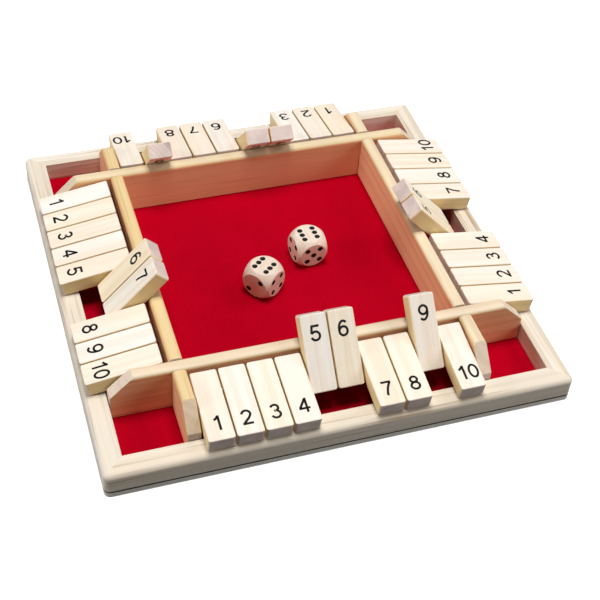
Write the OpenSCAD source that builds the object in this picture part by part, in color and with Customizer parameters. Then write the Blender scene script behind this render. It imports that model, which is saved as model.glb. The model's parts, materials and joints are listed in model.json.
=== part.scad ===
// Four-sided shut the box board with its pair of dice.
// A square wooden tray for four players: each side has a row of ten numbered tiles that
// turn on a steel rod. A tile lies flat with its outer end on the rim, or stands raised
// and leans inwards on the rail of the dice tray.
// +X runs to the right along the front edge, +Y away from the front, +Z up.
// The origin is at the centre of the board's underside.

/* [Tray] */
// Clear width of the square dice tray, between the inner rails
tray_w = 130; // [125:1:180]
// Thickness of the base panel
base_t = 3.5; // [2.5:0.5:8]
// Thickness of the felt on the base panel
felt_t = 1; // [0.6:0.1:2]
// Gap round the felt, to the frame
felt_gap = 0.2; // [0.1:0.1:0.5]
// Clear width of the channel between an inner rail and the frame
channel_w = 28.6; // [27:0.1:40]

/* [Outer frame] */
// Width of a frame rail, seen from above
frame_w = 10; // [8:0.5:16]
// Height of a frame rail, above the base panel
frame_h = 10.5; // [8:0.5:12]
// Radius of the quarter round along the outer top edge
frame_round = 3; // [1:0.5:5]
// Radius of the upright corners of the board
corner_r = 3; // [1:0.5:4]
// Height of the shadow groove between the base panel and the frame
groove_h = 0.6; // [0.3:0.1:1]
// Depth of the shadow groove
groove_d = 0.6; // [0.3:0.1:1]

/* [Inner rails] */
// Thickness of an inner rail
rail_t = 6.4; // [5.5:0.1:9]
// Height of an inner rail, above the felt
rail_h = 24.3; // [21:0.1:28]
// Radius of the two long top edges of a rail
rail_round = 1.8; // [0.8:0.1:2.4]
// Leg of the slope at each rail end
rail_slope = 11; // [6:0.5:12]
// Gap between a rail end and the frame
rail_end_gap = 0.4; // [0.2:0.1:1]
// Gap on each side of a rail in the lap joint where two rails cross
lap_gap = 0.15; // [0.05:0.05:0.3]

/* [Tiles] */
// Number of tiles on each side
tile_count = 10; // [4:1:10]
// Thickness of a tile
tile_t = 8; // [6.5:0.1:9]
// Gap between two neighbouring tiles
tile_gap = 0.75; // [0.6:0.05:2]
// Spare length at each end of a row of tiles
row_margin = 0.25; // [0.1:0.05:1]
// How far the outer tile ends stay inside the board's outer edge
tile_setback = 1.4; // [0.5:0.1:3]
// Radius of all the edges of a tile
tile_round = 1; // [0.4:0.1:1.5]
// Gap between a tile and what it rests on
rest_gap = 0.3; // [0.2:0.05:0.5]
// Tiles of the front row that stand raised
front_raised = [5, 6, 9];
// Tiles of the right row that stand raised
right_raised = [5, 6];
// Tiles of the back row that stand raised
back_raised = [4, 5, 9];
// Tiles of the left row that stand raised
left_raised = [6, 7];

/* [Pivot rods] */
// Diameter of a pivot rod
rod_d = 2.4; // [1.6:0.1:3.2]
// Distance from an inner rail's outer face to the middle of the rod
rod_offset = 10.9; // [10:0.1:14]
// Distance from the top of the inner rails down to the middle of the rod
rod_drop = 6.5; // [5.5:0.1:8]
// Radial clearance of a tile's bore on the rod
rod_play = 0.08; // [0.03:0.01:0.1]
// Depth of the blind hole that holds a rod's end in a rail
socket_depth = 5; // [3:0.1:5]
// Space left beyond a rod's end in its blind hole
socket_end_gap = 0.3; // [0.1:0.1:0.6]
// Least gap between a turning tile's inner end and the inner rail
swing_gap = 0.8; // [0.5:0.1:1.5]

/* [Dice] */
// Edge length of a die
die_size = 16; // [12:0.5:20]
// Diameter of the ball shape that rounds a die's corners
die_ball_d = 21; // [19:0.5:22]
// Diameter of a pip
pip_d = 3; // [1.5:0.1:3.1]
// Depth of a pip
pip_depth = 0.45; // [0.2:0.05:0.8]
// Distance between neighbouring pips
pip_step = 3.35; // [3.2:0.05:3.6]
// Place of the left die on the felt
left_die_at = [-10.6, -8.5];
// Turn of the left die about its upright axis
left_die_turn = 39; // [0:1:90]
// Place of the right die on the felt
right_die_at = [17.4, 8.3];
// Turn of the right die about its upright axis
right_die_turn = -84.5; // [-90:0.5:90]

/* [Hidden] */
$fn = 96;
eps = 0.01;

// Sides of the board, counted counter-clockwise in quarter turns from the front
SIDES = [0:3];
SIDE_NAMES = ["front", "right", "back", "left"];
RAISED = [front_raised, right_raised, back_raised, left_raised];
TILES = [1:tile_count];

// Levels above the surface that the board stands on
felt_z = base_t;
floor_z = felt_z + felt_t;
rim_z = base_t + frame_h;
rail_z = floor_z + rail_h;
rod_z = rail_z - rod_drop;
lap_z = floor_z + rail_h / 2;

// Distances out from the middle of the board
rail_in = tray_w / 2;
rail_mid = rail_in + rail_t / 2;
rail_out = rail_in + rail_t;
opening = rail_out + channel_w;
board_half = opening + frame_w;
rail_half = opening - rail_end_gap;
rod_out = rail_out + rod_offset;
rod_half = rail_in + socket_depth - socket_end_gap;

// A tile, measured from the rod through the middle of its thickness
tile_pitch = (tray_w - 2 * row_margin) / tile_count;
tile_w = tile_pitch - tile_gap;
tile_tail = sqrt(pow(rod_offset - swing_gap, 2) - pow(tile_t / 2, 2));
tile_reach = board_half - tile_setback - rod_out;
tile_l = tile_tail + tile_reach;

// Flat: the rounded lower edge of the outer end lies rest_gap above the rim.
// The drop is the tile's slope, down towards the rim.
edge_l = tile_reach - tile_round;
edge_n = tile_t / 2 - tile_round;
edge_rise = rod_z - tile_round - rim_z - rest_gap;
flat_drop = asin(edge_rise / norm([edge_l, edge_n])) - atan2(edge_n, edge_l);

// Raised: the numbered face lies rest_gap off the rounded top edge of the inner rail.
// The lean is measured from lying level and pointing outwards.
stop_in = rod_offset + rail_round;
stop_up = rod_drop - rail_round;
stop_reach = tile_t / 2 + rail_round + rest_gap;
raised_lean = 180 - asin(stop_reach / norm([stop_in, stop_up])) - atan2(stop_up, stop_in);

function listed(value, values) = len([for (v = values) if (v == value) v]) > 0;
function is_raised(side, number) = listed(number, RAISED[side]);
function tile_name(side, number) = str(SIDE_NAMES[side], "_tile_", number);
function tile_x(number) = (number - (tile_count + 1) / 2) * tile_pitch;

// Turns what is made for the front side to another side
module on_side(side) {
    rotate([0, 0, 90 * side]) children();
}

// A rectangle round the origin with four round corners
module round_rect(w, h, r) {
    square([w, h - 2 * r], center = true);
    square([w - 2 * r, h], center = true);
    for (x = [-1, 1], y = [-1, 1])
        translate([x * (w / 2 - r), y * (h / 2 - r)]) circle(r);
}

// A bar along X from -half to half, with its outline drawn in Y and Z
module bar_along_x(half) {
    rotate([90, 0, 90]) linear_extrude(2 * half, center = true) children();
}

// The plywood panel, with a shallow step all round its top that makes the shadow groove
module base_panel() {
    color("tan") {
        linear_extrude(base_t - groove_h)
            round_rect(2 * board_half, 2 * board_half, corner_r);
        linear_extrude(base_t)
            round_rect(2 * (board_half - groove_d), 2 * (board_half - groove_d), corner_r);
    }
}

// One sheet of felt over the whole inside of the frame
module felt_mat() {
    side = 2 * (opening - felt_gap);
    color("crimson") translate([-side / 2, -side / 2, felt_z]) cube([side, side, felt_t]);
}

// Outline of a frame rail: a flat top and a quarter round on the outer edge
module frame_outline() {
    translate([-board_half, base_t]) {
        translate([frame_round, 0]) square([frame_w - frame_round, frame_h]);
        square([frame_w, frame_h - frame_round]);
        translate([frame_round, frame_h - frame_round]) circle(frame_round);
    }
}

// Plan of one mitred frame rail
module mitre_plan() {
    intersection() {
        round_rect(2 * board_half, 2 * board_half, corner_r);
        polygon([
            [-board_half, -board_half],
            [board_half, -board_half],
            [opening, -opening],
            [-opening, -opening]
        ]);
    }
}

module frame_rail(side) {
    color("wheat") on_side(side) intersection() {
        bar_along_x(board_half) frame_outline();
        translate([0, 0, base_t - eps]) linear_extrude(frame_h + 2 * eps) mitre_plan();
    }
}

// Outline of an inner rail: upright, with its two top edges rounded
module rail_outline() {
    translate([-rail_out, floor_z]) {
        square([rail_t, rail_h - rail_round]);
        translate([rail_round, 0]) square([rail_t - 2 * rail_round, rail_h]);
        for (y = [rail_round, rail_t - rail_round])
            translate([y, rail_h - rail_round]) circle(rail_round);
    }
}

// Triangle that cuts the slope off the right-hand end of a rail
module slope_cut() {
    rotate([90, 0, 0]) linear_extrude(rail_t + 2 * eps, center = true) polygon([
        [rail_half - rail_slope - eps, rail_z + eps],
        [rail_half + eps, rail_z + eps],
        [rail_half + eps, rail_z - rail_slope - eps]
    ]);
}

// Notch for the crossing rail: the front and back rails are notched from below,
// and the left and right rails from above
module lap_notch(from_below) {
    notch_w = rail_t + 2 * lap_gap;
    low = from_below ? floor_z - eps : lap_z;
    high = from_below ? lap_z : rail_z + eps;
    translate([-notch_w / 2, -rail_t / 2 - eps, low])
        cube([notch_w, rail_t + 2 * eps, high - low]);
}

// Blind hole in the rail's tray side, for the end of the crossing row's rod
module rod_socket() {
    translate([0, -rail_in + eps, rod_z]) rotate([90, 0, 0])
        cylinder(r = rod_d / 2 + rod_play, h = socket_depth + eps);
}

module inner_rail(side) {
    from_below = side % 2 == 0;
    color("burlywood") on_side(side) difference() {
        bar_along_x(rail_half) rail_outline();
        for (end = [0, 1]) mirror([end, 0, 0]) {
            translate([0, -rail_mid, 0]) slope_cut();
            translate([rail_mid, -rail_mid, 0]) lap_notch(from_below);
            translate([rod_out, 0, 0]) rod_socket();
        }
    }
}

module pivot_rod(side) {
    color("silver") on_side(side) translate([0, -rod_out, rod_z]) rotate([0, 90, 0])
        cylinder(r = rod_d / 2, h = 2 * rod_half, center = true);
}

// A tile lying level, with the rod's axis at the origin and its outer end towards -Y
module tile_blank() {
    difference() {
        translate([0, (tile_tail - tile_reach) / 2, 0]) intersection() {
            linear_extrude(tile_t, center = true) round_rect(tile_w, tile_l, tile_round);
            rotate([90, 0, 0]) linear_extrude(tile_l, center = true)
                round_rect(tile_w, tile_t, tile_round);
            bar_along_x(tile_w / 2) round_rect(tile_l, tile_t, tile_round);
        }
        rotate([0, 90, 0])
            cylinder(r = rod_d / 2 + rod_play, h = tile_w + 2 * eps, center = true);
    }
}

module tile(side, number) {
    turn = is_raised(side, number) ? -raised_lean : flat_drop;
    color("cornsilk") on_side(side)
        translate([tile_x(number), -rod_out, rod_z]) rotate([turn, 0, 0]) tile_blank();
}

// Places of the pips on a face, in steps from its middle
PIPS = [
    [[0, 0]],
    [[-1, 1], [1, -1]],
    [[-1, 1], [0, 0], [1, -1]],
    [[-1, -1], [-1, 1], [1, -1], [1, 1]],
    [[-1, -1], [-1, 1], [0, 0], [1, -1], [1, 1]],
    [[-1, -1], [0, -1], [1, -1], [-1, 1], [0, 1], [1, 1]]
];

// Hollows of one face, cut into the top of a die that is centred on the origin
module face_pips(number) {
    ball_r = (pow(pip_d / 2, 2) + pow(pip_depth, 2)) / (2 * pip_depth);
    for (p = PIPS[number - 1])
        translate([p[0] * pip_step, p[1] * pip_step, die_size / 2 + ball_r - pip_depth])
            sphere(ball_r);
}

// A die with six on top; opposite faces add up to seven
module die(at, turn) {
    color("navajowhite") translate([at[0], at[1], floor_z + die_size / 2]) rotate([0, 0, turn])
        difference() {
            intersection() {
                cube(die_size, center = true);
                sphere(d = die_ball_d);
            }
            face_pips(6);
            rotate([180, 0, 0]) face_pips(1);
            rotate([0, -90, 0]) face_pips(2);
            rotate([0, 90, 0]) face_pips(5);
            rotate([90, 0, 0]) face_pips(4);
            rotate([-90, 0, 0]) face_pips(3);
        }
}

base_panel();
felt_mat();
for (s = SIDES) {
    frame_rail(s);
    inner_rail(s);
    pivot_rod(s);
    for (n = TILES) {
        tile(s, n);
    }
}
die(left_die_at, left_die_turn);  // left_die
die(right_die_at, right_die_turn);  // right_die
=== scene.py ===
# %% [markdown]
# # A four-sided shut the box board
#
# Four players share this pine board. Each has a row of ten numbered tiles that turn on a
# steel rod, and the two dice are thrown on the red felt in the middle. The CAD model has
# every piece at its place, with sharp edges and plain colours. This lesson dresses it:
# the wood gets eased edges and grain that runs as it grew, the felt gets its nap, and the
# tiles get their printed numbers. Nothing is moved. Each new piece is made where its CAD
# piece lies and rides on the same body, so the tiles still turn.

# %% Load the frame
import itertools
import json
import math

import bpy
import numpy as np
from mathutils import Matrix, Quaternion, Vector


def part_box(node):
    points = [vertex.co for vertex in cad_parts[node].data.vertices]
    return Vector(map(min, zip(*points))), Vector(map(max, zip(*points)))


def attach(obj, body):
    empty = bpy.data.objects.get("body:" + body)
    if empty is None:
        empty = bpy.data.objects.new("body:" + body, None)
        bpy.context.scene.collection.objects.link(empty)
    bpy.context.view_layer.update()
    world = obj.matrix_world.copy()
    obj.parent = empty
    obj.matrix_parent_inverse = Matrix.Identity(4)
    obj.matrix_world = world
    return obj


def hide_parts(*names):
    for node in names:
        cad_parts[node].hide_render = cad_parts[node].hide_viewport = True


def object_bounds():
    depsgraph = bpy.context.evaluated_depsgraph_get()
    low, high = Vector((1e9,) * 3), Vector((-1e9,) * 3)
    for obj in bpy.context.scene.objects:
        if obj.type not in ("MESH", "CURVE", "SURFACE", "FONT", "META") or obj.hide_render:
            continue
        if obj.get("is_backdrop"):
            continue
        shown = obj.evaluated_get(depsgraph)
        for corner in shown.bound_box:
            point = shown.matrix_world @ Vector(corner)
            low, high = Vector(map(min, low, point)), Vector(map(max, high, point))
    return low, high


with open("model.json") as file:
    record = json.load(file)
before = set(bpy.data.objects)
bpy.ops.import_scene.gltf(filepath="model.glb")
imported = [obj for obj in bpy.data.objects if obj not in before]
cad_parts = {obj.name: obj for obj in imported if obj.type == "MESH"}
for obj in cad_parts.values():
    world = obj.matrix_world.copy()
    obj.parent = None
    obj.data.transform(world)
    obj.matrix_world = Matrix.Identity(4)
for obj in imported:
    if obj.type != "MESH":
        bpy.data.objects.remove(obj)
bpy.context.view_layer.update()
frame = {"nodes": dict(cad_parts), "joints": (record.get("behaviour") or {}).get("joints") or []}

# %% [markdown]
# ## Sizes
#
# The frame is in metres, and almost every size can be read from it: a piece of the board
# fills its CAD box. What a box doesn't tell, such as how round an edge is, is named where it
# is first needed. The four sides are alike, so the front side is measured, and the others
# are quarter turns of it.

# %% Sizes read from the frame
MM = 0.001
SIDES = ["front", "right", "back", "left"]
TILE_NUMBERS = range(1, 11)

base_low, base_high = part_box("base_panel")
felt_low, felt_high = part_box("felt_mat")
rim_low, rim_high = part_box("front_frame_rail")
rail_low, rail_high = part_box("front_inner_rail")
rod_low, rod_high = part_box("front_pivot_rod")

board_half = base_high.x
rail_t = rail_high.y - rail_low.y
rod_out = -(rod_low.y + rod_high.y) / 2
rod_z = (rod_low.z + rod_high.z) / 2
rod_r = (rod_high.z - rod_low.z) / 2
print("Board", round(2 * board_half / MM, 1), "mm, rails", round(rail_high.z / MM, 1), "mm high")


def turned(side):
    """The quarter turns that take what is made at the front to another side."""
    return Matrix.Rotation(math.radians(90 * SIDES.index(side)), 4, "Z")

# %% [markdown]
# ## Camera
#
# The camera comes first, so that every later choice can be judged in the photograph's own
# view. The board was looked at from its front left, from a little under half a metre up.
# The picture is square, and the lens is long enough that the far side is hardly smaller
# than the near one. The camera is also rolled a few degrees, as a hand-held one is.

# %% The camera
CAMERA_AT = (-0.14677, -0.42198, 0.43394)
CAMERA_AZIMUTH = math.radians(-20.694)
CAMERA_ELEVATION = math.radians(45.033)
CAMERA_ROLL = math.radians(4.642)
LENS_MM = 73.68
SENSOR_MM = 36
NEAREST_SEEN = 10 * MM

bpy.ops.object.select_all(action="DESELECT")
bpy.ops.object.camera_add(location=CAMERA_AT)
camera = bpy.context.object
camera.name = "camera"
camera.data.sensor_width = SENSOR_MM
camera.data.lens = LENS_MM
camera.data.clip_start = NEAREST_SEEN
towards_camera = Vector((
    math.sin(CAMERA_AZIMUTH) * math.cos(CAMERA_ELEVATION),
    -math.cos(CAMERA_AZIMUTH) * math.cos(CAMERA_ELEVATION),
    math.sin(CAMERA_ELEVATION),
))
camera.rotation_mode = "QUATERNION"
level = towards_camera.to_track_quat("Z", "Y")
camera.rotation_quaternion = level @ Quaternion((0, 0, 1), CAMERA_ROLL)
bpy.context.scene.camera = camera
print("Camera at", CAMERA_AT, "with a", LENS_MM, "mm lens")

# %% [markdown]
# ## Helpers for materials
#
# A material is a small graph of nodes. One function adds a node with its settings and its
# links, so that each step of a material reads as one decision. Another fills the inputs of
# a node that is already there, such as the shader. Colours are written as the hex values a
# paint program shows, and one function makes them linear.

# %% Colours and nodes
def linear(hex_colour):
    """The linear RGBA of an sRGB hex value such as #c8102e."""
    shares = [int(hex_colour[i:i + 2], 16) / 255 for i in (1, 3, 5)]
    return (*(s / 12.92 if s <= 0.04045 else ((s + 0.055) / 1.055) ** 2.4 for s in shares), 1)


def fill(tree, node, inputs):
    """Fills inputs of a node, each with a value or with the output of another node."""
    for key, value in inputs.items():
        if isinstance(value, bpy.types.NodeSocket):
            tree.links.new(value, node.inputs[key])
        else:
            node.inputs[key].default_value = value


def add(tree, kind, inputs=None, stops=(), **settings):
    """Adds a node. A colour ramp gets stops: places from 0 to 1, each with its linear colour."""
    node = tree.nodes.new(kind)
    for name, value in settings.items():
        setattr(node, name, value)
    for i, (place, colour) in enumerate(stops):
        if i >= len(node.color_ramp.elements):
            node.color_ramp.elements.new(place)
        node.color_ramp.elements[i].position = place
        node.color_ramp.elements[i].color = colour
    fill(tree, node, inputs or {})
    return node


def new_material(name):
    """An empty material with one shader, ready for its nodes."""
    material = bpy.data.materials.new(name)
    material.use_nodes = True
    tree = material.node_tree
    return material, tree, tree.nodes["Principled BSDF"]


print("Crimson is linear", [round(x, 3) for x in linear("#c8102e")])

# %% [markdown]
# ## Floor and light
#
# The photograph is a shop picture that was cut out and laid on white. Its light comes from
# straight above, so the tops are almost white and the front ends of the tiles are dark, and
# no light comes back up from the ground. One softbox overhead gives that. A weaker one to
# the right lights the slopes that face it. Two low ones, to the left and to the front
# right, light the upright faces without brightening the tops much. The floor is a sheet of
# matt white paper. It is told not to light the board, or its sides would be much brighter
# than in the picture. It glows itself, like a light table, which keeps the board's own shadow
# faint. The world is a white backdrop that only the camera sees. The sheet ends where the
# lamps still make it white, so that a low view shows no grey band before the backdrop.

# %% Floor and lights
FLOOR_SIZE = 1.2
FLOOR_GLOW = 0.6

bpy.context.scene.view_settings.view_transform = "Standard"

bpy.ops.object.select_all(action="DESELECT")
bpy.ops.mesh.primitive_plane_add(size=FLOOR_SIZE, location=(0, 0, 0))
floor = bpy.context.object
floor.name = "floor"
floor.visible_diffuse = False
floor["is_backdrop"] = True
paper, paper_tree, paper_shader = new_material("matt_white_background_paper")
fill(paper_tree, paper_shader, {
    "Base Color": linear("#fbfbfa"),
    "Roughness": 0.9,
    "Emission Color": linear("#ffffff"),
    "Emission Strength": FLOOR_GLOW,
})
paper.cycles.emission_sampling = "NONE"
floor.data.materials.append(paper)


def softbox(name, place, size, watts):
    """A square lamp that faces the board. Its place and size are in metres."""
    bpy.ops.object.light_add(type="AREA", location=place)
    lamp = bpy.context.object
    lamp.name = name
    lamp.data.shape = "SQUARE"
    lamp.data.size = size
    lamp.data.energy = watts
    lamp.rotation_euler = Vector(place).to_track_quat("Z", "Y").to_euler()


softbox("overhead_softbox", (0, 0, 1.3), size=0.5, watts=15.3)
softbox("right_softbox", (0.92, 0, 0.92), size=0.6, watts=4.5)
softbox("low_left_softbox", (-1.22, 0, 0.445), size=0.6, watts=7.4)
softbox("low_front_right_softbox", (0.864, -0.864, 0.445), size=0.6, watts=3.9)

world = bpy.data.worlds.new("white_backdrop")
bpy.context.scene.world = world
world.use_nodes = True
fill(world.node_tree, world.node_tree.nodes["Background"], {"Color": linear("#ffffff")})
world.cycles_visibility.diffuse = False
world.cycles_visibility.glossy = False

# %% [markdown]
# ## Helpers for modelling
#
# Each wooden piece is made as a joiner would make it: a block is cut to size, its edges
# are rounded, its ends are sawn and its holes are drilled. These few helpers do that with
# Blender's own tools. They select faces and edges by where they are, because there is no
# mouse to pick them with.

# %% Blocks and selections
TOUCHING = 0.001 * MM


def block(name, low, high):
    """A block of wood from one corner to the other, its place already in its mesh."""
    low, high = Vector(low), Vector(high)
    bpy.ops.object.select_all(action="DESELECT")
    bpy.ops.mesh.primitive_cube_add(size=1, location=(low + high) / 2)
    piece = bpy.context.object
    piece.name = name
    piece.scale = high - low
    bpy.ops.object.transform_apply(location=True, rotation=True, scale=True)
    return piece


def only(piece):
    """Leaves this piece alone selected, in object mode."""
    if bpy.context.mode != "OBJECT":
        bpy.ops.object.mode_set(mode="OBJECT")
    bpy.ops.object.select_all(action="DESELECT")
    piece.select_set(True)
    bpy.context.view_layer.objects.active = piece


def edit(piece, kind, where):
    """Opens a piece in edit mode, with the faces or edges selected whose corners pass."""
    only(piece)
    bpy.ops.object.mode_set(mode="EDIT")
    bpy.ops.mesh.select_mode(type=kind)
    bpy.ops.mesh.select_all(action="DESELECT")
    bpy.ops.object.mode_set(mode="OBJECT")
    mesh = piece.data
    for part in mesh.edges if kind == "EDGE" else mesh.polygons:
        part.select = where([mesh.vertices[i].co for i in part.vertices])
    bpy.ops.object.mode_set(mode="EDIT")


def at(**places):
    """A test that all corners lie at these coordinates, such as y=-0.1."""
    def passes(corners):
        return all(
            abs(getattr(corner, axis) - value) < TOUCHING
            for corner in corners
            for axis, value in places.items()
        )
    return passes


print("Corners count as touching within", round(TOUCHING / MM, 4), "mm")

# %% Edges and cuts
EASED_DEGREES = 35
SMOOTH_DEGREES = 35


def round_edges(piece, where, radius, segments):
    """Rounds the chosen edges."""
    edit(piece, "EDGE", where)
    bpy.ops.mesh.bevel(offset=radius, segments=segments, affect="EDGES")
    bpy.ops.object.mode_set(mode="OBJECT")


def saw(piece, point, waste):
    """Saws a piece through a point. The waste lies on the side that the arrow points to."""
    edit(piece, "FACE", lambda corners: True)
    bpy.ops.mesh.bisect(plane_co=point, plane_no=waste, use_fill=True, clear_outer=True)
    bpy.ops.object.mode_set(mode="OBJECT")


def cut(piece, cutter, operation="DIFFERENCE"):
    """Cuts one piece with another, which is used up."""
    only(piece)
    modifier = piece.modifiers.new("cut", "BOOLEAN")
    modifier.operation = operation
    modifier.solver = "EXACT"
    modifier.object = cutter
    bpy.ops.object.modifier_apply(modifier="cut")
    bpy.data.objects.remove(cutter)


def ease(piece, radius, sharpest=EASED_DEGREES):
    """Takes the sharpness off all the edges that bend more than this, as sanding does."""
    only(piece)
    modifier = piece.modifiers.new("ease", "BEVEL")
    modifier.width = radius
    modifier.segments = 2
    modifier.limit_method = "ANGLE"
    modifier.angle_limit = math.radians(sharpest)
    modifier.use_clamp_overlap = True
    bpy.ops.object.modifier_apply(modifier="ease")


def smooth(piece):
    """Smooth shading that keeps the large flat faces flat."""
    only(piece)
    bpy.ops.object.shade_smooth_by_angle(angle=math.radians(SMOOTH_DEGREES))
    modifier = piece.modifiers.new("weights", "WEIGHTED_NORMAL")
    modifier.keep_sharp = True
    bpy.ops.object.modifier_apply(modifier="weights")


print("Edges that bend more than", SMOOTH_DEGREES, "degrees stay sharp")

# %% Copies, drills and dress
DRILL_SIDES = 32


def copy_to(piece, name, place):
    """A copy with its own mesh, moved to its place in that mesh."""
    only(piece)
    bpy.ops.object.duplicate(linked=False)
    copy = bpy.context.object
    copy.name = name
    copy.matrix_world = place
    bpy.ops.object.transform_apply(location=True, rotation=True, scale=True)
    return copy


def drill(name, radius, depth, middle, direction):
    """A drill as a cylinder, ready to be cut out of a piece."""
    turn = Vector(direction).to_track_quat("Z", "Y").to_euler()
    bpy.ops.object.select_all(action="DESELECT")
    bpy.ops.mesh.primitive_cylinder_add(
        vertices=DRILL_SIDES, radius=radius, depth=depth, location=middle, rotation=turn
    )
    bpy.context.object.name = name
    return bpy.context.object


def dress(piece, material, body, slot, *nodes):
    """Gives a finished piece its material and its body, and hides the CAD nodes it stands for."""
    piece.data.name = piece.name
    piece.data.materials.clear()
    piece.data.materials.append(material)
    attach(piece, body)
    if nodes:
        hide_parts(*nodes)


print("Drills have", DRILL_SIDES, "sides")

# %% [markdown]
# ## How wood carries its grain
#
# Wood isn't a pattern on a surface. Each piece was sawn out of a tree, so rings that show
# as stripes along a face show as arcs on its end. To get both, each point of a piece
# remembers where it lay in the trunk: along it, and to both sides of the pith. One
# material can then draw the rings in space, and every piece shows its own cut of them. The
# pieces are spread over the trunk by steps of the golden section, which never repeat.
#
# A second number says how squarely a face cuts the fibres, because end grain drinks in
# light and looks greyer. A third says how warm the wood of a face is, with painted bounce
# light added on some faces. From 0 to 1 it goes from the palest pine to honey, and from 1
# to 2 it goes on to a deeper bounce tone. A whole board can be warmer than its neighbours.
# The top of the frame can be warmer than its sides, in the wood's own tone. The sawn sides
# of a tile get painted warm light, as if bounced between neighbouring tiles, and the walls
# of an inner rail, which face the red felt, get painted orange-red light, as if thrown back
# by the felt.

# %% Where a piece lay in its trunk
GOLDEN = (math.sqrt(5) - 1) / 2
TURN_STEP = 3 * GOLDEN ** 2
LEAST_RADIUS = 35 * MM
RADIUS_SPREAD = 60 * MM
LENGTH_STEP = 1.7 * GOLDEN
SQUARENESS = 8  # high, so that only the faces that lie square to a direction count
trunk_numbers = itertools.count(1)


def saw_from_trunk(piece, along, across, honey=0.0, face_warmth_and_bounce=0.0):
    """Stores each point's place in the trunk, each face's end grain, and its honey with painted
    bounce light.
    """
    number = next(trunk_numbers)
    turn = 2 * math.pi * (number * TURN_STEP % 1)
    radius = LEAST_RADIUS + RADIUS_SPREAD * (number * GOLDEN % 1)
    along = np.array(along, float)
    across = np.array(across, float)
    axes = np.stack([along, across, np.cross(along, across)])
    mesh = piece.data
    points = np.zeros(3 * len(mesh.vertices))
    mesh.vertices.foreach_get("co", points)
    points = points.reshape(-1, 3)
    places = (points - points.mean(axis=0)) @ axes.T
    places += (number * LENGTH_STEP, radius * math.cos(turn), radius * math.sin(turn))
    trunk = mesh.attributes.new("trunk", "FLOAT_VECTOR", "POINT")
    trunk.data.foreach_set("vector", places.ravel())
    normals = np.zeros(3 * len(mesh.polygons))
    mesh.polygons.foreach_get("normal", normals)
    normals = normals.reshape(-1, 3)
    end_grain = mesh.attributes.new("end_grain", "FLOAT", "FACE")
    end_grain.data.foreach_set("value", np.abs(normals @ along))
    warmth_and_bounce = mesh.attributes.new("honey", "FLOAT", "FACE")
    # The face term is painted bounce light on tile sides and rail walls, and the wood's own tone
    # on the frame's top.
    warmth_and_bounce.data.foreach_set("value", honey + face_warmth_and_bounce * np.abs(normals @ across) ** SQUARENESS)


farthest = LEAST_RADIUS + RADIUS_SPREAD
print("Sawn from", round(LEAST_RADIUS / MM), "to", round(farthest / MM), "mm from the pith")

# %% [markdown]
# ## Sanded pine
#
# The frame, the rails and the tiles are pine: almost white, with soft bands where the years'
# growth ends, sanded fine and left matt. No two years are alike, so the rings aren't a
# regular wave: they are noise that is read by the distance from the pith. That distance is
# first bent by a slower noise that is squeezed along the trunk, so that the bands run long
# and wander a little. Other noises make one board differ from the next and one patch from
# another, and draw the fibres and the resin canals, most of them squeezed in the same way.
# Real fibres are a few hundredths of a millimetre wide, too fine to show, so they are drawn
# as streaks of about half a millimetre.

# %% The noises in a trunk
RING_MM = 3.2
WANDER_MM = 2.5
TRUNK_NOISES = {  # the squeeze along the trunk, the size across it in mm, and the detail
    "wander": (0.12, 16.0, {"Detail": 2.0}),
    "boards": (1.0, 700.0, {}),
    "patches": (0.10, 9.0, {"Detail": 3.0}),
    "fibres": (0.03, 0.5, {"Detail": 2.0, "Roughness": 0.6}),
    "canals": (0.02, 1.3, {"Detail": 1.0}),
}


def trunk_noises(tree):
    """The rings and the other noises of a trunk, by name."""
    trunk = add(tree, "ShaderNodeAttribute", attribute_name="trunk").outputs["Vector"]
    noises = {}
    for name, (squeeze, size_mm, detail) in TRUNK_NOISES.items():
        drawn_out = add(tree, "ShaderNodeMapping", {"Vector": trunk, "Scale": (squeeze, 1, 1)})
        noises[name] = add(
            tree, "ShaderNodeTexNoise",
            {"Vector": drawn_out.outputs[0], "Scale": 1 / (size_mm * MM), **detail},
        ).outputs["Fac"]
    from_pith = add(tree, "ShaderNodeMapping", {"Vector": trunk, "Scale": (0, 1, 1)}).outputs[0]
    radius = add(tree, "ShaderNodeVectorMath", {0: from_pith}, operation="LENGTH").outputs["Value"]
    bent = add(
        tree, "ShaderNodeMath", {0: noises["wander"], 1: 2 * WANDER_MM * MM, 2: radius},
        operation="MULTIPLY_ADD",
    ).outputs[0]
    noises["rings"] = add(
        tree, "ShaderNodeTexNoise",
        {"W": bent, "Scale": 1 / (RING_MM * MM), "Detail": 1.5, "Roughness": 0.4},
        noise_dimensions="1D",
    ).outputs["Fac"]
    return noises


print("Noises of a trunk:", ", ".join(TRUNK_NOISES), "and rings")

# %% [markdown]
# ### Tones in layers
#
# The wood's colour is built as a painter builds it, in thin layers over a ground. Each layer
# either mixes its colour in or multiplies by it, as a glaze darkens what lies below. A Mix
# node has inputs for several kinds of data, so those for colours are picked by number.

# %% Layers of colour
SHARE = 0
BELOW = 6
ABOVE = 7
COLOUR_OUT = 2


def layered(tree, ground, layers):
    """Lays colours over a ground. A layer is its blend, how much of it shows and its colour."""
    for blend, share, colour in layers:
        ground = add(
            tree, "ShaderNodeMix", {SHARE: share, BELOW: ground, ABOVE: colour},
            data_type="RGBA", blend_type=blend,
        ).outputs[COLOUR_OUT]
    return ground


print("Colours go in at inputs", BELOW, "and", ABOVE, "and come out at", COLOUR_OUT)

# %% [markdown]
# ### The layers of pine
#
# Each layer follows a noise or a number of the mesh. In the first table below, it goes from
# its least to its most while that value goes from one limit to the other. Where the ring
# noise is highest, the dense late wood shows as a thin line. Sparse soft streaks are the
# resin canals. End grain has its own pale rosy grey, and only some boards show their rings
# on it.

# %% How much of each tone shows
BAND_AMOUNT = 0.5
LINE_AMOUNT = 0.3
LINE_STOPS = ((0.55, 0.0), (0.60, 1.0), (0.63, 0.35), (0.70, 0.0))


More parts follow.
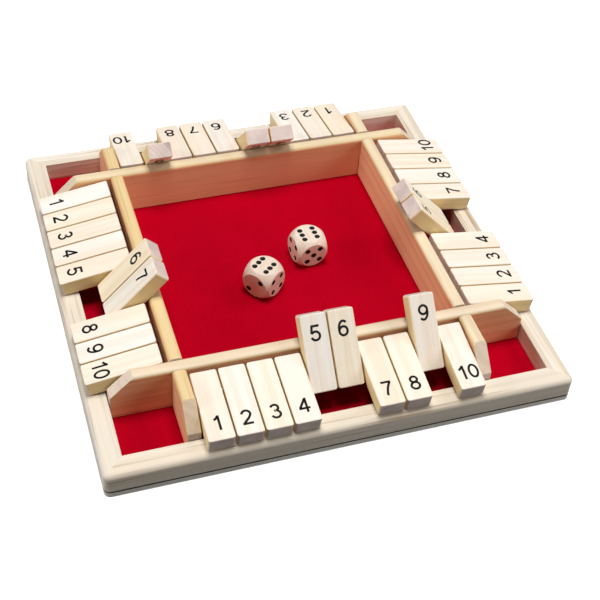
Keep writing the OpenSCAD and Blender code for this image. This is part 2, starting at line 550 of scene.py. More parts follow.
def pine_amounts(tree, noises, contrast, resin):
    """How much of each tone shows at a point of the wood, and how rough it is there."""
    end = add(tree, "ShaderNodeAttribute", attribute_name="end_grain").outputs["Fac"]
    warmth_and_bounce = add(tree, "ShaderNodeAttribute", attribute_name="honey").outputs["Fac"]
    shown = {"honey": warmth_and_bounce}
    for what, value, low, high, least, most in (
        ("rosy_boards", noises["boards"], 0.35, 0.65, 0, 0.6),
        ("rosy_patches", noises["patches"], 0.40, 0.70, 0, 0.5),
        # Values above 1 come only from painted bounce light on tile sides and rail walls.
        ("bounce_tone", warmth_and_bounce, 1, 2, 0, 1),
        ("bands", noises["rings"], 0.38, 0.68, 0, BAND_AMOUNT * contrast),
        ("fibre_light", noises["fibres"], 0.25, 0.75, 0.95, 1.03),
        ("resin", noises["canals"], 0.60, 0.76, 0, resin),
        ("end_grain", end, 0.50, 0.95, 0, 1),
        ("ringed_ends", noises["boards"], 0.50, 0.70, 0, 1),
        ("end_light", noises["patches"], 0.35, 0.65, 0.82, 1.04),
        ("roughness", noises["fibres"], 0, 1, 0.52, 0.70),
    ):
        shown[what] = add(
            tree, "ShaderNodeMapRange",
            {"Value": value, "From Min": low, "From Max": high, "To Min": least, "To Max": most},
        ).outputs[0]
    stops = [(place, (grey, grey, grey, 1)) for place, grey in LINE_STOPS]
    line = add(tree, "ShaderNodeValToRGB", {"Fac": noises["rings"]}, stops).outputs["Color"]
    for what, operation, one, other in (
        ("rosy", "ADD", shown["rosy_boards"], shown["rosy_patches"]),
        ("lines", "MULTIPLY", line, LINE_AMOUNT * contrast),
        ("end_lines", "MULTIPLY", line, shown["ringed_ends"]),
    ):
        both = add(tree, "ShaderNodeMath", {0: one, 1: other}, operation=operation)
        shown[what] = both.outputs[0]
    return shown


print("Late wood: bands by", BAND_AMOUNT, "and lines by", LINE_AMOUNT, "of the contrast")

# %% Sanded pine
PINE_BUMP_MM = 0.04


def sanded_pine(name, pale, honey, bounce_tone, rose, late, contrast, resin):
    """Pine: its pale, honey and rosy tones, a deeper tone for painted bounce light, its late wood
    and its resin streaks.
    """
    material, tree, shader = new_material(name)
    noises = trunk_noises(tree)
    shown = pine_amounts(tree, noises, contrast, resin)
    sawn_end = layered(tree, linear("#d8c6bd"), [
        ("MIX", shown["end_lines"], linear("#a89390")),
        ("MULTIPLY", 1, shown["end_light"]),
    ])
    toned = layered(tree, linear(pale), [
        ("MIX", shown["rosy"], linear(rose)),
        ("MIX", shown["honey"], linear(honey)),
        ("MIX", shown["bounce_tone"], linear(bounce_tone)),
        ("MULTIPLY", shown["bands"], linear(late)),
        ("MULTIPLY", shown["lines"], linear(late)),
        ("MULTIPLY", 1, shown["fibre_light"]),
        ("MULTIPLY", shown["resin"], linear("#b9a184")),
        ("MIX", shown["end_grain"], sawn_end),
    ])
    bump = add(
        tree, "ShaderNodeBump",
        {"Height": noises["fibres"], "Strength": 0.5, "Distance": PINE_BUMP_MM * MM},
    )
    fill(tree, shader, {
        "Base Color": toned,
        "Roughness": shown["roughness"],
        "Normal": bump.outputs[0],
        "IOR": 1.5,
        "Specular IOR Level": 0.35,
    })
    return material


# The bounce tone is painted light: on the tiles it warms their sides, on the rails it tints their
# walls orange-red.
tile_pine = sanded_pine(
    "sanded_pine_of_the_tiles", pale="#ede9e2", honey="#f6dda4", bounce_tone="#f6dda4",
    rose="#f0dfcd", late="#eedabf", contrast=0.5, resin=0.12,
)
rail_pine = sanded_pine(
    "sanded_pine_of_the_inner_rails", pale="#e9dfca", honey="#dec38c", bounce_tone="#efb98e",
    rose="#e6cfb4", late="#e0c69c", contrast=0.6, resin=0.3,
)
rim_pine = sanded_pine(
    "sanded_pine_of_the_outer_frame", pale="#ece5da", honey="#d8cbb6", bounce_tone="#d8cbb6",
    rose="#ebddca", late="#d6c8ae", contrast=0.75, resin=0.7,
)
print("Pine:", tile_pine.name, rail_pine.name, rim_pine.name)

# %% [markdown]
# ## Base panel
#
# The bottom is a sheet of thin plywood. Its edge shows a pale veneer below and a slightly
# darker core above it. A shallow step is sawn round its top edge. The step is painted with
# shade, so a dark line runs round under the frame. The block is rounded at its four upright
# corners, and its top face is inset and pushed up to make the step. The same block, with
# its top edges rounded too, gives the frame its outline later.

# %% Birch plywood
PLY_GRAIN_MM = 1.2
VENEER_T = 1.15 * MM
VENEER_BLUR = 0.15 * MM
PLY_BUMP = 0.05 * MM
# How softly the painted shade in the step fades in.
STEP_SHADE_BLUR = 0.1 * MM
GROOVE_H = 0.8 * MM
GROOVE_DEPTH = 1.6 * MM

step_z = base_high.z - GROOVE_H


def birch_plywood():
    """Birch plywood, sanded: its veneer, the core on its edge and painted shade in the step."""
    material, tree, shader = new_material("sanded_birch_plywood")
    place = add(tree, "ShaderNodeTexCoord").outputs["Object"]
    drawn_out = add(tree, "ShaderNodeMapping", {"Vector": place, "Scale": (1, 0.04, 1)})
    grain = add(
        tree, "ShaderNodeTexNoise", {
            "Vector": drawn_out.outputs[0], "Scale": 1 / (PLY_GRAIN_MM * MM),
            "Detail": 4.0, "Roughness": 0.62,
        },
    ).outputs["Fac"]
    veneer = add(
        tree, "ShaderNodeValToRGB", {"Fac": grain},
        [(0.3, linear("#f4f2ea")), (0.7, linear("#e9e4d6"))],
    ).outputs["Color"]
    height = add(tree, "ShaderNodeSeparateXYZ", {0: place}).outputs["Z"]
    # The second mask is painted shade in the step under the frame.
    core, painted_step_shade = [
        add(
            tree, "ShaderNodeMapRange",
            {"Value": height, "From Min": low, "From Max": high, "To Max": most},
        ).outputs[0]
        for low, high, most in (
            (VENEER_T - VENEER_BLUR, VENEER_T + VENEER_BLUR, 0.5),
            (step_z - STEP_SHADE_BLUR, step_z, 1),
        )
    ]
    toned = layered(tree, veneer, [
        ("MIX", core, linear("#dfd8c6")),
        # Painted shade: the step under the frame is darkened as if in deep shadow.
        ("MIX", painted_step_shade, linear("#3b352d")),
    ])
    bump = add(tree, "ShaderNodeBump", {"Height": grain, "Strength": 0.4, "Distance": PLY_BUMP})
    fill(tree, shader, {"Base Color": toned, "Roughness": 0.6, "Normal": bump.outputs[0]})
    return material


plywood = birch_plywood()
print("Plywood:", plywood.name)

# %% The base panel
CORNER_R = 3 * MM
PANEL_EASE = 0.2 * MM


def outline_block(name, low_z, high_z, round_top):
    """A block over the whole board, with its upright corners and perhaps its top rounded."""
    piece = block(name, (-board_half, -board_half, low_z), (board_half, board_half, high_z))
    round_edges(
        piece, lambda c: c[0].z != c[1].z or round_top and at(z=high_z)(c), CORNER_R, segments=10
    )
    return piece


base = outline_block("base_panel_plywood", base_low.z, step_z, round_top=False)
edit(base, "FACE", at(z=step_z))
bpy.ops.mesh.inset(thickness=GROOVE_DEPTH)
bpy.ops.mesh.extrude_region_move(TRANSFORM_OT_translate={"value": (0, 0, GROOVE_H)})
bpy.ops.object.mode_set(mode="OBJECT")
ease(base, PANEL_EASE)
smooth(base)
dress(base, plywood, "board", "birch_ply_base", "base_panel")
print("Base panel:", len(base.data.polygons), "faces")

# %% [markdown]
# ## Outer frame
#
# Four rails of one moulding, mitred at the corners. The outer top edge is a quarter round,
# and the corners of the glued frame were sanded as round as that edge, like those of a
# pillow. So the front rail is what a bar shares with the round-cornered block, sawn to its
# mitres. The others are copies, each turned to its side and sawn from its own place in the
# trunk. The four boards differ a little: the tops of some are warmer than those of others.

# %% The front rail of the frame
RIM_EASE = 0.25 * MM
OVERSIZE = 1 * MM


def frame_rail_blank():
    """The front rail of the outer frame."""
    piece = block(
        "rim_blank",
        rim_low - Vector((OVERSIZE, OVERSIZE, 0)),
        rim_high + Vector((OVERSIZE, 0, OVERSIZE)),
    )
    outline = outline_block("rim_outline", rim_low.z - OVERSIZE, rim_high.z, round_top=True)
    cut(piece, outline, "INTERSECT")
    ease(piece, RIM_EASE)
    for end in (-1, 1):
        saw(piece, (end * board_half, -board_half, 0), (end, 1, 0))
    smooth(piece)
    return piece


rim_blank = frame_rail_blank()
print("Frame rail:", len(rim_blank.data.polygons), "faces")

# %% The four frame rails
RIM_TOP_HONEY = {"front": 0.45, "right": 0.3, "back": 0.1, "left": 0.4}

for side in SIDES:
    rim = copy_to(rim_blank, f"{side}_frame_rail_pine", turned(side))
    along = turned(side) @ Vector((1, 0, 0))
    saw_from_trunk(rim, along, (0, 0, 1), face_warmth_and_bounce=RIM_TOP_HONEY[side])
    dress(rim, rim_pine, "board", "pine_frame", f"{side}_frame_rail")
bpy.data.objects.remove(rim_blank)
print("Frame rails:", ", ".join(SIDES))

# %% [markdown]
# ## Felt
#
# One sheet of pressed wool felt is glued on the whole bottom before the rails go in, so it
# also shows in the corner cells and under the tiles. Felt has no threads: it is a mat of
# tangled fibres, dull from every side, with a faint glow where its nap catches the light
# at a low angle. Its fibres are too fine to show, so the nap is drawn at under a millimetre,
# as coarse as it needs to be. The sheet is a fine grid with a soft unevenness of less than a
# fifth of a millimetre, always downwards, so that it stays under the rails that stand on it.

# %% Pressed wool felt
NAP_MM = 0.7
NAP_DEPTH = 0.25 * MM
MOTTLE_MM = 9.0
MOTTLE_SHARE = 0.2


def pressed_wool_felt():
    """Red felt: deep, dull and slightly mottled, with a sheen from its loose fibres."""
    material, tree, shader = new_material("pressed_wool_felt")
    place = add(tree, "ShaderNodeTexCoord").outputs["Object"]
    nap = add(
        tree, "ShaderNodeTexNoise", {
            "Vector": place, "Scale": 1 / (NAP_MM * MM),
            "Detail": 4.0, "Roughness": 0.7, "Distortion": 1.5,
        },
    ).outputs["Fac"]
    mottle = add(
        tree, "ShaderNodeTexNoise",
        {"Vector": place, "Scale": 1 / (MOTTLE_MM * MM), "Detail": 2.0},
    ).outputs["Fac"]
    depth = add(
        tree, "ShaderNodeMath", {0: mottle, 1: MOTTLE_SHARE, 2: nap}, operation="MULTIPLY_ADD"
    ).outputs[0]
    red = add(
        tree, "ShaderNodeValToRGB", {"Fac": depth},
        [(0.3, linear("#990010")), (0.85, linear("#bb0021"))],
    ).outputs["Color"]
    bump = add(tree, "ShaderNodeBump", {"Height": nap, "Strength": 0.8, "Distance": NAP_DEPTH})
    fill(tree, shader, {
        "Base Color": red,
        "Roughness": 0.95,
        "Normal": bump.outputs[0],
        "Specular IOR Level": 0.02,
        "Sheen Weight": 0.08,
        "Sheen Roughness": 0.4,
        "Sheen Tint": linear("#ff2040"),
    })
    return material


felt_material = pressed_wool_felt()
print("Felt:", felt_material.name)

# %% The felt sheet
FELT_CELLS = 96
FELT_DIP = 0.15 * MM
SWELL_MM = (11.0, 13.0)
RIPPLE_MM = (4.1, 5.3)

felt_size = felt_high.x - felt_low.x
felt_t = felt_high.z - felt_low.z
bpy.ops.object.select_all(action="DESELECT")
bpy.ops.mesh.primitive_grid_add(
    x_subdivisions=FELT_CELLS, y_subdivisions=FELT_CELLS, size=felt_size,
    location=(0, 0, felt_high.z),
)
felt = bpy.context.object
felt.name = "felt_mat_cloth"
bpy.ops.object.transform_apply(location=True, rotation=True, scale=True)
for corner in felt.data.vertices:
    x, y = corner.co.x / MM, corner.co.y / MM
    swell = math.sin(x / SWELL_MM[0]) * math.sin(y / SWELL_MM[1] + 1)
    ripple = math.sin(x / RIPPLE_MM[0] + 2) * math.sin(y / RIPPLE_MM[1])
    corner.co.z -= FELT_DIP * (0.5 + 0.35 * swell + 0.15 * ripple)
only(felt)
thickness = felt.modifiers.new("thickness", "SOLIDIFY")
thickness.thickness = felt_t - FELT_DIP
thickness.offset = -1
bpy.ops.object.modifier_apply(modifier="thickness")
bpy.ops.object.shade_smooth_by_angle(angle=math.radians(SMOOTH_DEGREES))
dress(felt, felt_material, "board", "red_felt", "felt_mat")
print("Felt:", round(felt_size / MM, 1), "mm square,", len(felt.data.polygons), "faces")

# %% [markdown]
# ## Inner rails
#
# Four slats stand on edge round the dice tray and cross at its corners in lap joints: the
# front and back slats are notched from below, the left and right ones from above. Their
# top edges are rounded, their lower ones a little less, and their ends slope down to the
# frame. Small blind holes in them hold the ends of the rods. The slats were cut from
# boards that differ in how warm they are, and their walls carry painted light: an
# orange-red tone, as if the red felt threw its light back on them.

# %% An inner rail with its notches
RAIL_ROUND = 1.8 * MM
RAIL_FOOT_ROUND = 0.7 * MM
RAIL_EASE = 0.45 * MM
RAIL_SLOPE = 11 * MM
LAP_GAP = 0.15 * MM
SOCKET_DEPTH = 5 * MM
ROD_PLAY = 0.08 * MM

rail_mid = rail_t / 2 - rail_high.y
lap_z = (rail_low.z + rail_high.z) / 2


def inner_rail_blank(name, from_below):
    """The front slat, with its notches from below or from above."""
    piece = block(name, rail_low, rail_high)
    for level, radius in ((rail_high.z, RAIL_ROUND), (rail_low.z, RAIL_FOOT_ROUND)):
        round_edges(
            piece, lambda c: at(z=level)(c) and abs(c[0].y - c[1].y) < TOUCHING, radius, segments=5
        )
    low = rail_low.z - OVERSIZE if from_below else lap_z
    high = lap_z if from_below else rail_high.z + OVERSIZE
    half_notch = rail_t / 2 + LAP_GAP
    for end in (-1, 1):
        saw(piece, (end * (rail_high.x - RAIL_SLOPE), 0, rail_high.z), (end, 0, 1))
        cut(piece, block(
            "notch",
            (end * rail_mid - half_notch, rail_low.y - OVERSIZE, low),
            (end * rail_mid + half_notch, rail_high.y + OVERSIZE, high),
        ))
        cut(piece, drill(
            "socket_drill", rod_r + ROD_PLAY, 2 * SOCKET_DEPTH,
            (end * rod_out, rail_high.y, rod_z), (0, 1, 0),
        ))
    ease(piece, RAIL_EASE)
    smooth(piece)
    return piece


lapped_over = inner_rail_blank("rail_blank_notched_below", from_below=True)
lapped_under = inner_rail_blank("rail_blank_notched_above", from_below=False)
print("Inner rail:", len(lapped_over.data.polygons), "faces")

# %% The four inner rails
RAIL_HONEY = {"front": 0.05, "right": 0.3, "back": 0.45, "left": 0.9}
# Painted light: the walls get an orange-red tone, as if lit by red light thrown back from the
# felt.
RAIL_WALL_FELT_BOUNCE = 2.0

for side in SIDES:
    blank = lapped_over if side in ("front", "back") else lapped_under
    rail = copy_to(blank, f"{side}_inner_rail_pine", turned(side))
    along, through = (turned(side) @ Vector(axis) for axis in ((1, 0, 0), (0, 1, 0)))
    saw_from_trunk(rail, along, through, RAIL_HONEY[side], RAIL_WALL_FELT_BOUNCE)
    dress(rail, rail_pine, "board", "pine_rail", f"{side}_inner_rail")
bpy.data.objects.remove(lapped_over)
bpy.data.objects.remove(lapped_under)
print("Inner rails:", ", ".join(SIDES))

# %% [markdown]
# ## Pivot rods
#
# The tiles turn on drawn steel rods. A rod is a plain cylinder, so the CAD piece stays and
# only gets its metal. Drawing leaves fine marks on it, so its shine is a little uneven, and
# each highlight spreads a little. The marks are drawn coarser than real ones, or they would
# be too fine to show.

# %% Drawn steel
DRAWING_MARK_MM = 0.3


def drawn_steel():
    """Bright drawn steel wire, with the fine marks of its drawing."""
    material, tree, shader = new_material("drawn_steel_rod")
    place = add(tree, "ShaderNodeTexCoord").outputs["Object"]
    marks = add(
        tree, "ShaderNodeTexNoise",
        {"Vector": place, "Scale": 1 / (DRAWING_MARK_MM * MM), "Detail": 3.0},
    ).outputs["Fac"]
    rough = add(tree, "ShaderNodeMapRange", {"Value": marks, "To Min": 0.16, "To Max": 0.34})
    tone = add(
        tree, "ShaderNodeValToRGB", {"Fac": marks},
        [(0.3, linear("#c9cacc")), (0.7, linear("#e2e2e1"))],
    )
    fill(tree, shader, {
        "Base Color": tone.outputs["Color"], "Metallic": 1.0, "Roughness": rough.outputs[0],
    })
    return material


steel = drawn_steel()
for side in SIDES:
    rod = frame["nodes"][f"{side}_pivot_rod"]
    rod.data.materials.clear()
    rod.data.materials.append(steel)
print("Rods:", round(2 * rod_r / MM, 2), "mm thick")

# %% [markdown]
# ## Tiles
#
# A tile is cut from a strip of pine with rounded edges. Its sawn ends are only sanded, but
# its four corners are rounder than any edge. A cross hole takes the rod. The tile is
# modelled once, lying level with the rod's axis at the origin, its numbered end towards the
# player. Each of the forty places is then worked out from the frame: the hole's axis is the
# joint's anchor, and the line from there to the middle of the tile's CAD box is the
# direction that the tile points in.

# %% Where each tile lies
TILES = {f"{side}_tile_{number}": (side, number) for side in SIDES for number in TILE_NUMBERS}

pivots = {joint["child"]: Vector(joint["pos_m"]) for joint in frame["joints"] if "pos_m" in joint}


def tile_place(node):
    """The matrix that takes a tile from the bench to its place on the board."""
    side, _ = TILES[node]
    low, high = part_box(node)
    across = turned(side).to_3x3() @ Vector((1, 0, 0))
    inwards = (pivots[node] - (low + high) / 2).normalized()
    place = Matrix((across, inwards, across.cross(inwards))).transposed().to_4x4()
    place.translation = pivots[node]
    return place


print("Front tile 1 at", [round(x / MM, 2) for x in tile_place("front_tile_1").translation])

# %% [markdown]
# A tile lies at a slope, so its box is longer and higher than the tile, and the slope has
# to be taken out again. The rounded edges of the CAD tile don't turn with it: a round edge
# reaches as far at any slope. So they are left out of the sum and added at the end.

# %% The size of a tile
CAD_TILE_ROUND = 1 * MM

low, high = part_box("front_tile_1")
place = tile_place("front_tile_1")
cos_tilt = abs(place[1][1])
sin_tilt = abs(place[2][1])
out_span = high.y - low.y - 2 * CAD_TILE_ROUND
up_span = high.z - low.z - 2 * CAD_TILE_ROUND
stretch = cos_tilt ** 2 - sin_tilt ** 2
tile_w = high.x - low.x
tile_l = (out_span * cos_tilt - up_span * sin_tilt) / stretch + 2 * CAD_TILE_ROUND
tile_t = (up_span * cos_tilt - out_span * sin_tilt) / stretch + 2 * CAD_TILE_ROUND
middle_out = ((low + high) / 2 - place.translation).length
tile_reach = middle_out + tile_l / 2
print("Tile and its reach:", [round(x / MM, 2) for x in (tile_w, tile_l, tile_t, tile_reach)])

# %% The tile, made once
CORNER_ROUND = 1.3 * MM
LONG_ROUND = 0.65 * MM
END_ROUND = 0.6 * MM

tile_blank = block(
    "tile_blank",
    (-tile_w / 2, -tile_reach, -tile_t / 2),
    (tile_w / 2, tile_l - tile_reach, tile_t / 2),
)
for axis, radius in (("x", END_ROUND), ("y", LONG_ROUND), ("z", CORNER_ROUND)):
    edit(tile_blank, "EDGE", lambda c: getattr(c[0], axis) != getattr(c[1], axis))
    bpy.ops.transform.edge_bevelweight(value=radius / CORNER_ROUND)
only(tile_blank)
strip = tile_blank.modifiers.new("strip", "BEVEL")
strip.limit_method = "WEIGHT"
strip.width = CORNER_ROUND
strip.segments = 4
bpy.ops.object.modifier_apply(modifier="strip")
cut(tile_blank, drill("tile_drill", rod_r + ROD_PLAY, 2 * tile_w, (0, 0, 0), (1, 0, 0)))
smooth(tile_blank)
print("Tile:", len(tile_blank.data.polygons), "faces")

# %% The forty tiles
# Painted light: the long sawn sides get a warm tone, as if lit by light bounced between
# neighbouring tiles.
TILE_SIDE_BOUNCE = 0.9
TILE_MOST_HONEY = 0.2
YELLOW_BOARDS = {
    "front_tile_6": 0.25, "right_tile_5": 0.35, "right_tile_6": 0.3, "left_tile_6": 0.45,
}

for order, node in enumerate(TILES, start=1):
    place = tile_place(node)
    tile = copy_to(tile_blank, f"{node}_pine", place)
    honey = YELLOW_BOARDS.get(node, TILE_MOST_HONEY * (order * GOLDEN % 1) ** 2)
    saw_from_trunk(tile, place.col[1].to_3d(), place.col[0].to_3d(), honey, TILE_SIDE_BOUNCE)
    dress(tile, tile_pine, node, "pine_tile", node)
bpy.data.objects.remove(tile_blank)
print("Tiles:", len(TILES))

# %% [markdown]
# ## Printed numbers
#
# The numbers are screen printed in black, in a plain sans serif, on both faces of a tile:
# once to be read while the tile lies flat, and once on the other face, the other way up,
# to be read when it stands raised. Each figure is a few pen strokes, drawn in shares of its
# height. A stroke is a curve in the figure's middle line, made a mesh, and Solidify gives it
# the pen's width. The ink itself is a layer a few hundredths of a millimetre thick.

# %% Strokes of the ten figures
FIGURE_H = 7.3 * MM
PEN = 0.15
INK_T = 0.06 * MM
INK_SUNK = 0.02 * MM
FIGURE_MID = 0.387
FIGURE_STEP = 0.71
LEAST_STEPS = 3
STEP_DEGREES = 12


def bow(x, y, rx, ry, start, end):
    """Points along an oval arc, from one angle to another."""
    steps = max(LEAST_STEPS, round(abs(end - start) / STEP_DEGREES))
    angles = [math.radians(start + (end - start) * i / steps) for i in range(steps + 1)]
    return [(x + rx * math.cos(a), y + ry * math.sin(a)) for a in angles]


def upside_down(strokes):
    """The strokes turned by half a turn, as a six turns into a nine."""
    return [[(2 * FIGURE_MID - x, 1 - y) for x, y in stroke] for stroke in strokes]


SIX = [
    bow(0.395, 0.318, 0.262, 0.273, 0, 360),
    bow(0.420, 0.430, 0.290, 0.510, 185, 100) + bow(0.405, 0.735, 0.225, 0.205, 85, 25),
]
FIGURES = {
    "0": [bow(FIGURE_MID, 0.5, 0.266, 0.44, 0, 360)],
    "1": [
        [(0.475, 0), (0.475, 1)],
        [(0.20, 0.715), (0.33, 0.80), (0.42, 0.89), (0.475, 0.965)],
    ],
    "2": [
        bow(0.375, 0.70, 0.262, 0.24, 172, -25) + [(0.50, 0.43), (0.30, 0.25), (0.16, 0.11)],
        [(0.055, 0.062), (0.70, 0.062)],
    ],
    "3": [
        bow(0.365, 0.733, 0.225, 0.205, 160, -72),
        [(0.30, 0.538), (0.40, 0.538)],
        bow(0.375, 0.300, 0.265, 0.238, 75, -165),
    ],
    "4": [
        [(0.515, 0), (0.515, 1)],
        [(0.495, 0.93), (0.09, 0.33)],
        [(0.03, 0.296), (0.72, 0.296)],
    ],
    "5": [
        [(0.66, 0.938), (0.20, 0.938), (0.135, 0.47)],
        bow(0.375, 0.325, 0.27, 0.265, 146, -165),
    ],
    "6": SIX,
    "7": [
        [(0.06, 0.938), (0.69, 0.938)],
        [(0.64, 0.90), (0.52, 0.73), (0.40, 0.48), (0.31, 0.20), (0.285, 0)],
    ],
    "8": [
        bow(FIGURE_MID, 0.742, 0.218, 0.196, 0, 360),
        bow(FIGURE_MID, 0.298, 0.265, 0.236, 0, 360),
    ],
    "9": upside_down(SIX),
}
print("Figures:", "".join(FIGURES))

# %% From strokes to a printed number
def figure_strokes(text):
    """The strokes of a number round its own middle, in metres."""
    for place, figure in enumerate(text):
        shift = (place - (len(text) - 1) / 2) * FIGURE_STEP - FIGURE_MID
        for stroke in FIGURES[figure]:
            yield [((x + shift) * FIGURE_H, (y - 0.5) * FIGURE_H) for x, y in stroke]


def print_number(text):
    """One number as a thin layer of ink, flat on the ground with its top towards +Y."""
    curve = bpy.data.curves.new(f"strokes_{text}", "CURVE")
    curve.dimensions = "3D"
    curve.extrude = INK_T / 2
    for stroke in figure_strokes(text):
        closed = math.dist(stroke[0], stroke[-1]) < TOUCHING
        points = stroke[:-1] if closed else stroke
        spline = curve.splines.new("POLY")
        spline.points.add(len(points) - 1)
        for point, (x, y) in zip(spline.points, points):
            point.co = (x, y, 0, 1)
        spline.use_cyclic_u = closed
    printed = bpy.data.objects.new(f"number_{text}", curve)
    bpy.context.scene.collection.objects.link(printed)
    only(printed)
    bpy.ops.object.convert(target="MESH")
    pen = printed.modifiers.new("pen", "SOLIDIFY")
    pen.thickness = PEN * FIGURE_H
    pen.offset = 0
    pen.use_even_offset = True
    bpy.ops.object.modifier_apply(modifier="pen")
    return printed


numbers = {number: print_number(str(number)) for number in TILE_NUMBERS}
print("Numbers:", {n: len(o.data.polygons) for n, o in numbers.items()})

# %% [markdown]
# ### The ink
#
# Screen ink is close to black, with a hint of blue, and lies matt on the wood. The mesh of
# the screen leaves it very slightly uneven. Real meshes are a little finer than this one,
# which has to show.

# %% Screen printing ink
SCREEN_MM = 0.4


def screen_ink():
    """Black screen printing ink."""
    material, tree, shader = new_material("black_screen_printing_ink")
    place = add(tree, "ShaderNodeTexCoord").outputs["Object"]
    screen_marks = add(
        tree, "ShaderNodeTexNoise",
        {"Vector": place, "Scale": 1 / (SCREEN_MM * MM), "Detail": 2.0},
    )
    tone = add(
        tree, "ShaderNodeValToRGB", {"Fac": screen_marks.outputs["Fac"]},
        [(0.3, linear("#05050a")), (0.8, linear("#0f0e16"))],
    )
    fill(tree, shader, {
        "Base Color": tone.outputs["Color"], "Roughness": 0.6, "Specular IOR Level": 0.25,
    })
    return material


ink = screen_ink()
print("Ink:", ink.name)

# %% Eighty printed numbers
FLAT_FROM_END = 8.5 * MM
RAISED_FROM_END = 8.8 * MM

ink_level = tile_t / 2 + INK_T / 2 - INK_SUNK
half_turn = Matrix.Rotation(math.pi, 4, "X")
printed_faces = {
    "flat_number": Matrix.Translation((0, FLAT_FROM_END - tile_reach, ink_level)),
    "raised_number": Matrix.Translation((0, RAISED_FROM_END - tile_reach, -ink_level)) @ half_turn,
}
for node, (_, number) in TILES.items():
    for name, on_face in printed_faces.items():
        printed = copy_to(numbers[number], f"{node}_{name}", tile_place(node) @ on_face)
        dress(printed, ink, node, "black_print")
for stencil in numbers.values():
    bpy.data.objects.remove(stencil)
print("Numbers printed on both faces of", len(TILES), "tiles")

# %% [markdown]
# ## Dice
#
# Two small wooden dice. Such a die is a cube that was tumbled until only a round patch of
# each face was left flat. That is the shape that a cube and a ball share. The wood is pale
# beech with short flecks about a millimetre wide. The pips are shallow dished hollows, and
# the black paint in them is a thin skin of its own.

# %% Tumbled beech
FLECK_MM = 0.9
BEECH_BUMP = 0.04 * MM


def tumbled_beech():
    """Pale beech, tumbled smooth: short fine flecks along the fibres and a soft lustre."""
    material, tree, shader = new_material("tumbled_beech")
    trunk = add(tree, "ShaderNodeAttribute", attribute_name="trunk").outputs["Vector"]
    drawn_out = add(tree, "ShaderNodeMapping", {"Vector": trunk, "Scale": (0.12, 1, 1)})
    flecks = add(
        tree, "ShaderNodeTexNoise", {
            "Vector": drawn_out.outputs[0], "Scale": 1 / (FLECK_MM * MM),
            "Detail": 3.0, "Roughness": 0.6,
        },
    ).outputs["Fac"]
    tone = add(
        tree, "ShaderNodeValToRGB", {"Fac": flecks},
        [(0.3, linear("#dac1a5")), (0.62, linear("#e5d6c8"))],
    )
    bump = add(tree, "ShaderNodeBump", {"Height": flecks, "Strength": 0.3, "Distance": BEECH_BUMP})
    fill(tree, shader, {
        "Base Color": tone.outputs["Color"], "Roughness": 0.42, "Normal": bump.outputs[0],
    })
    return material


beech = tumbled_beech()
print("Beech:", beech.name)

# %% The shape of a die
DIE_BALL_R = 10.5 * MM
PIP_R = 1.5 * MM
PIP_DEPTH = 0.45 * MM
PIP_STEP = 3.35 * MM
PIPS = {
    1: [(0, 0)],
    2: [(-1, 1), (1, -1)],
    3: [(-1, 1), (0, 0), (1, -1)],
    4: [(-1, -1), (-1, 1), (1, -1), (1, 1)],
    5: [(-1, -1), (-1, 1), (0, 0), (1, -1), (1, 1)],
    6: [(-1, -1), (0, -1), (1, -1), (-1, 1), (0, 1), (1, 1)],
}
FACE_TURNS = {  # opposite faces add up to seven
    6: Matrix.Identity(4),
    1: Matrix.Rotation(math.pi, 4, "X"),
    2: Matrix.Rotation(-math.pi / 2, 4, "Y"),
    5: Matrix.Rotation(math.pi / 2, 4, "Y"),
    4: Matrix.Rotation(math.pi / 2, 4, "X"),
    3: Matrix.Rotation(-math.pi / 2, 4, "X"),
}

die_low, die_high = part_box("left_die")
die_half = (die_high.z - die_low.z) / 2
pip_ball_r = (PIP_R ** 2 + PIP_DEPTH ** 2) / (2 * PIP_DEPTH)
ball_up = die_half + pip_ball_r - PIP_DEPTH
pip_places = [
    (turn.to_3x3() @ Vector((0, 0, 1)), turn @ Vector((x * PIP_STEP, y * PIP_STEP, ball_up)))
    for value, turn in FACE_TURNS.items()
    for x, y in PIPS[value]
]
print("Die:", round(2 * die_half / MM, 2), "mm with", len(pip_places), "pips")

# %% The die, made once
DIE_EASE = 0.2 * MM
DIE_SHARPEST = 22


def ball(name, radius, middle, segments, rings):
    """A ball."""
    bpy.ops.object.select_all(action="DESELECT")
    bpy.ops.mesh.primitive_uv_sphere_add(
        segments=segments, ring_count=rings, radius=radius, location=middle
    )
    bpy.context.object.name = name
    return bpy.context.object


die_blank = block("die_blank", (-die_half,) * 3, (die_half,) * 3)
cut(die_blank, ball("die_ball", DIE_BALL_R, (0, 0, 0), segments=64, rings=32), "INTERSECT")
for _, middle in pip_places:
    cut(die_blank, ball("pip_cutter", pip_ball_r, middle, segments=32, rings=24))
ease(die_blank, DIE_EASE, DIE_SHARPEST)
smooth(die_blank)
print("Die:", len(die_blank.data.polygons), "faces")

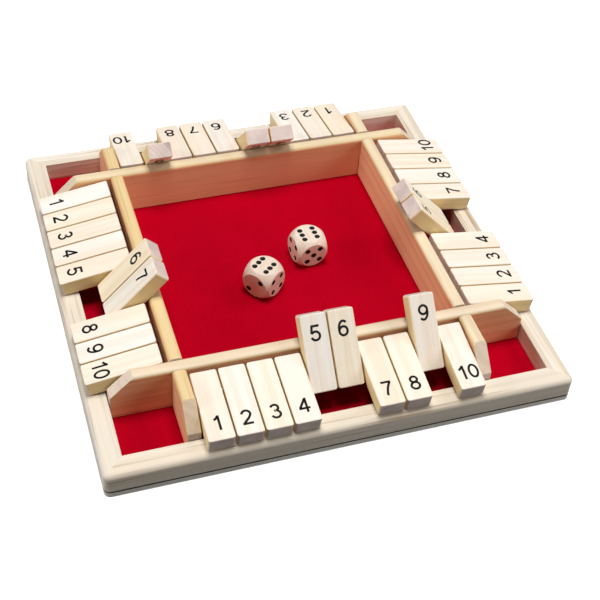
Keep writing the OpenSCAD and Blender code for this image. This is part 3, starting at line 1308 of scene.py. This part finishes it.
# %% [markdown]
# The paint skin of a pip is the bottom of a slightly smaller ball in the same hollow. It
# is cut off just below the face, so the paint ends at the hollow's rim.

# %% Paint in the pips
PAINT_T = 0.05 * MM
PAINT_SUNK = 0.2 * PAINT_T
PIP_SMOOTH_DEGREES = 40

pip_skins = []
for outwards, middle in pip_places:
    skin = ball("pip_skin", pip_ball_r - PAINT_SUNK, middle, segments=32, rings=24)
    bpy.ops.object.transform_apply(location=True, rotation=True, scale=True)
    edit(skin, "FACE", lambda corners: True)
    bpy.ops.mesh.bisect(
        plane_co=outwards * (die_half - PAINT_T), plane_no=outwards, clear_outer=True
    )
    bpy.ops.object.mode_set(mode="OBJECT")
    pip_skins.append(skin)
only(pip_skins[0])
for skin in pip_skins:
    skin.select_set(True)
bpy.ops.object.join()
pips_blank = bpy.context.object
pips_blank.name = "pips_blank"
skin_wall = pips_blank.modifiers.new("paint", "SOLIDIFY")
skin_wall.thickness = PAINT_T
skin_wall.offset = -1
bpy.ops.object.modifier_apply(modifier="paint")
bpy.ops.object.shade_smooth_by_angle(angle=math.radians(PIP_SMOOTH_DEGREES))
print("Pips:", len(pip_skins), "skins,", len(pips_blank.data.polygons), "faces")

# %% Two dice on the felt
DIE_TURNS = {"left_die": 39.0, "right_die": -84.5}

for node, degrees in DIE_TURNS.items():
    low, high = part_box(node)
    place = Matrix.Translation((low + high) / 2) @ Matrix.Rotation(math.radians(degrees), 4, "Z")
    die = copy_to(die_blank, f"{node}_beech", place)
    saw_from_trunk(die, place.col[0].to_3d(), (0, 0, 1))
    dress(die, beech, node, "beech_die", node)
    pips = copy_to(pips_blank, f"{node}_pips", place)
    dress(pips, ink, node, "black_print")
bpy.data.objects.remove(die_blank)
bpy.data.objects.remove(pips_blank)
print("Dice:", list(DIE_TURNS))

# %% [markdown]
# ## Last look at the size
#
# The dressed model has to keep the size of the CAD model. Its box is printed in millimetres.

# %% Print the box and finish
low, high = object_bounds()
print("Visual box in mm:", [round(1000 * x, 2) for x in (*low, *high)])
